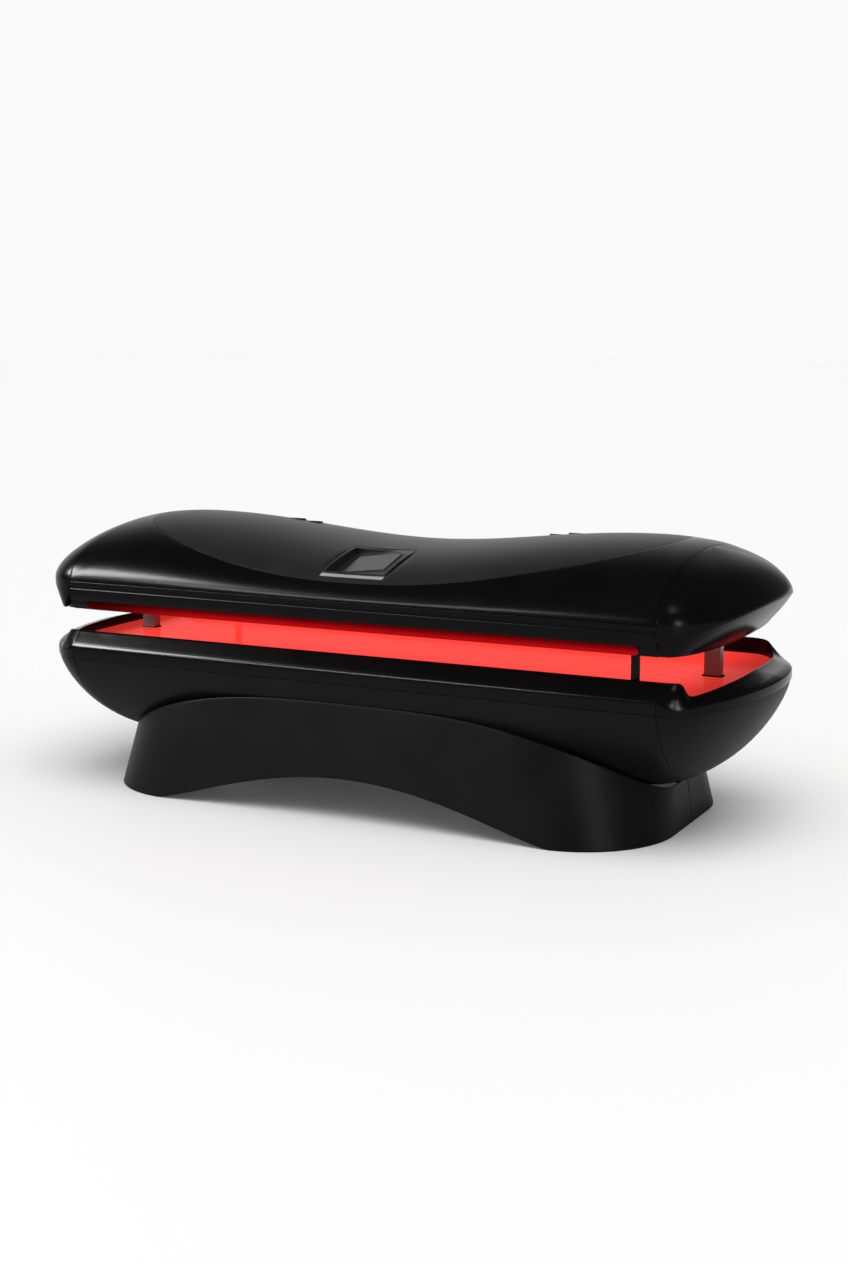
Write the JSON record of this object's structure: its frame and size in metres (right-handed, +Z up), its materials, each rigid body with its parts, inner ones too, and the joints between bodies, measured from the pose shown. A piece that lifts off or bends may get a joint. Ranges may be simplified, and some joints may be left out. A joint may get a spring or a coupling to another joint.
{
  "type": "red light therapy capsule",
  "caption": "Lie-in light therapy capsule: a boat-shaped bed on an arched plinth, with a lamp canopy that rises on telescopic end columns.",
  "frame": {"origin": "middle of the footprint, on the floor", "axes": "+Z up, X along the bed with +X towards the end that the picture shows nearer, -Y towards the front"},
  "size_m": [2.26, 0.876, 0.8068],
  "materials": {
    "black_gloss": "glossy black moulding",
    "satin_dark": "satin dark grey",
    "charcoal": "fine-grained charcoal",
    "grey_steel": "powder-coated grey",
    "column_steel": "brushed",
    "aluminium": "mill finish",
    "red_acrylic": "lit, polished",
    "lamp_board": "lacquered board",
    "black_rubber": "matt",
    "inlet_black": "satin",
    "screen_glass": "polished dark glass"
  },
  "bodies": {
    "base": {"skirt_front": "charcoal", "skirt_rear": "charcoal", "skirt_joiners": "grey_steel", "skirt_screws": "column_steel", "levelling_feet": "black_rubber", "plinth_beam_left": "grey_steel", "plinth_beam_right": "grey_steel", "chassis_legs": "grey_steel", "chassis_rail_front": "grey_steel", "chassis_rail_rear": "grey_steel", "hull_side_front": "charcoal", "hull_side_rear": "charcoal", "hull_end_left": "charcoal", "hull_end_right": "charcoal", "hull_ribs": "grey_steel", "bed_rail_front": "satin_dark", "bed_rail_rear": "satin_dark", "bed_rim_left": "satin_dark", "bed_rim_right": "satin_dark", "bed_cross_bars": "grey_steel", "bed_heat_sink": "aluminium", "bed_led_boards": "lamp_board", "bed_acrylic": "red_acrylic", "column_brackets": "grey_steel", "column_outer_left": "column_steel", "column_outer_right": "column_steel", "column_collars": "black_rubber", "lift_motors": "inlet_black", "power_supplies": "aluminium", "control_box": "satin_dark", "bed_fan_frames": "inlet_black", "rest_posts": "column_steel", "rest_buffers": "black_rubber", "power_inlet": "inlet_black"},
    "canopy": {"canopy_shell": "black_gloss", "canopy_top_inlay": "satin_dark", "canopy_cap_left": "black_gloss", "canopy_cap_right": "black_gloss", "canopy_rail_front": "black_gloss", "canopy_rail_rear": "black_gloss", "canopy_beam_front": "grey_steel", "canopy_beam_rear": "grey_steel", "canopy_end_beams": "grey_steel", "canopy_heat_sink": "aluminium", "canopy_led_boards": "lamp_board", "canopy_acrylic": "red_acrylic", "canopy_edge_lights": "red_acrylic", "canopy_fan_frames": "inlet_black", "canopy_vents": "inlet_black", "display_bezel": "satin_dark", "display_glass": "screen_glass", "column_inner_left": "aluminium", "column_inner_right": "aluminium"},
    "power_rocker": {"power_rocker": "satin_dark"},
    "bed_fan_rotor_left": {"bed_fan_rotor_left": "satin_dark"},
    "bed_fan_rotor_right": {"bed_fan_rotor_right": "satin_dark"},
    "column_middle_left": {"column_middle_left": "column_steel"},
    "column_middle_right": {"column_middle_right": "column_steel"},
    "canopy_fan_rotor_left": {"canopy_fan_rotor_left": "satin_dark"},
    "canopy_fan_rotor_right": {"canopy_fan_rotor_right": "satin_dark"}
  },
  "joints": [
    {"name": "canopy_lift", "type": "slide", "parent": "base", "child": "canopy", "axis": [0, 0, 1], "range_m": [0, 0.36]},
    {"name": "column_stage_left", "type": "slide", "parent": "base", "child": "column_middle_left", "axis": [0, 0, 1], "range_m": [0, 0.18]},
    {"name": "column_stage_right", "type": "slide", "parent": "base", "child": "column_middle_right", "axis": [0, 0, 1], "range_m": [0, 0.18]},
    {"name": "power_rocker_tip", "type": "hinge", "parent": "base", "child": "power_rocker", "pos_m": [0.524, 0.42437, 0.09573], "axis": [1, 0, 0], "range_deg": [0, 20]},
    {"name": "bed_fan_left_spin", "type": "hinge", "parent": "base", "child": "bed_fan_rotor_left", "pos_m": [-0.6, 0, 0.285], "axis": [0, 0, 1], "continuous": true},
    {"name": "bed_fan_right_spin", "type": "hinge", "parent": "base", "child": "bed_fan_rotor_right", "pos_m": [0.6, 0, 0.285], "axis": [0, 0, 1], "continuous": true},
    {"name": "canopy_fan_left_spin", "type": "hinge", "parent": "canopy", "child": "canopy_fan_rotor_left", "pos_m": [-0.425, 0, 0.645], "axis": [0, 0, 1], "continuous": true},
    {"name": "canopy_fan_right_spin", "type": "hinge", "parent": "canopy", "child": "canopy_fan_rotor_right", "pos_m": [0.425, 0, 0.645], "axis": [0, 0, 1], "continuous": true}
  ],
  "couplings": [
    {"joint": "column_stage_left", "follows": "canopy_lift", "ratio": 0.5},
    {"joint": "column_stage_right", "follows": "canopy_lift", "ratio": 0.5}
  ]
}
